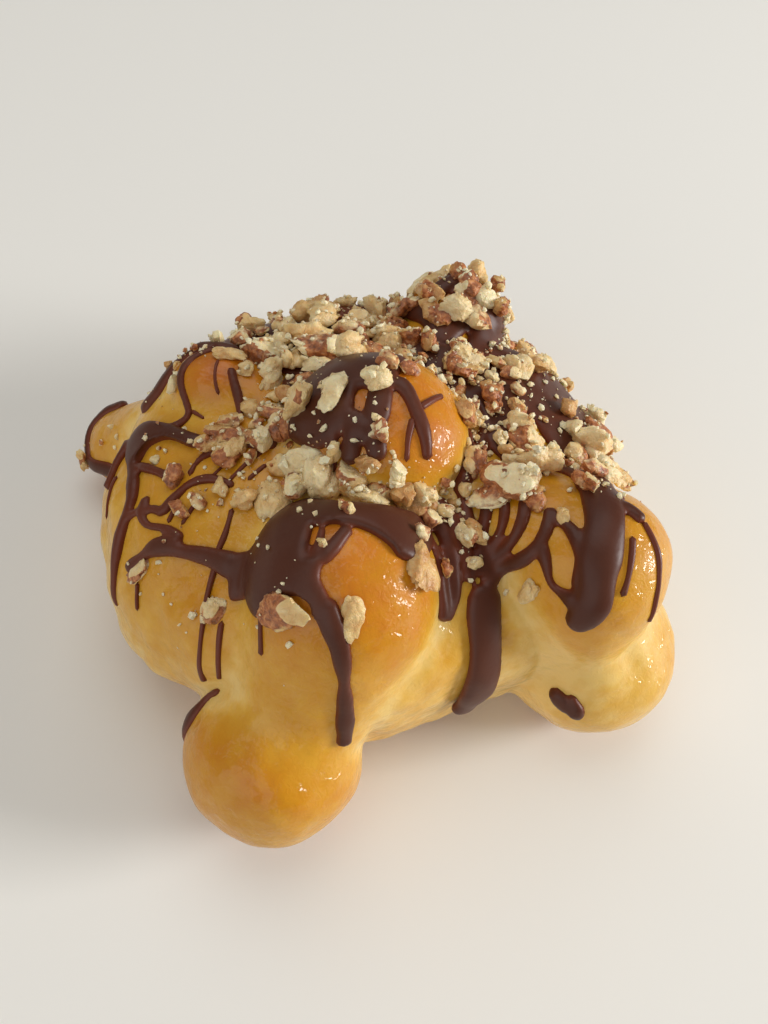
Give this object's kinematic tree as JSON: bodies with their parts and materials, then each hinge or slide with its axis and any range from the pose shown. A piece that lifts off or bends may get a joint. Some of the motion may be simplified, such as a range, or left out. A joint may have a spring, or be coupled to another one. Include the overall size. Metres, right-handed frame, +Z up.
{
  "type": "pan de muerto",
  "caption": "Sweet round bun with two crossed dough bones and a ball on top, drizzled with dark chocolate and strewn with chopped nuts.",
  "frame": {"origin": "middle of the flat base, on the surface that the bread stands on", "axes": "+Z up through the ball, -Y towards the front arm of the bones, +X to the right"},
  "size_m": [0.1178, 0.1201, 0.0563],
  "materials": {
    "crust": "egg-washed golden crust, browner on the high places",
    "chocolate": "set dark chocolate, satin",
    "nut": "broken kernel, cream with brown skin"
  },
  "bodies": {
    "root": {"bread": "crust"}
  },
  "joints": []
}
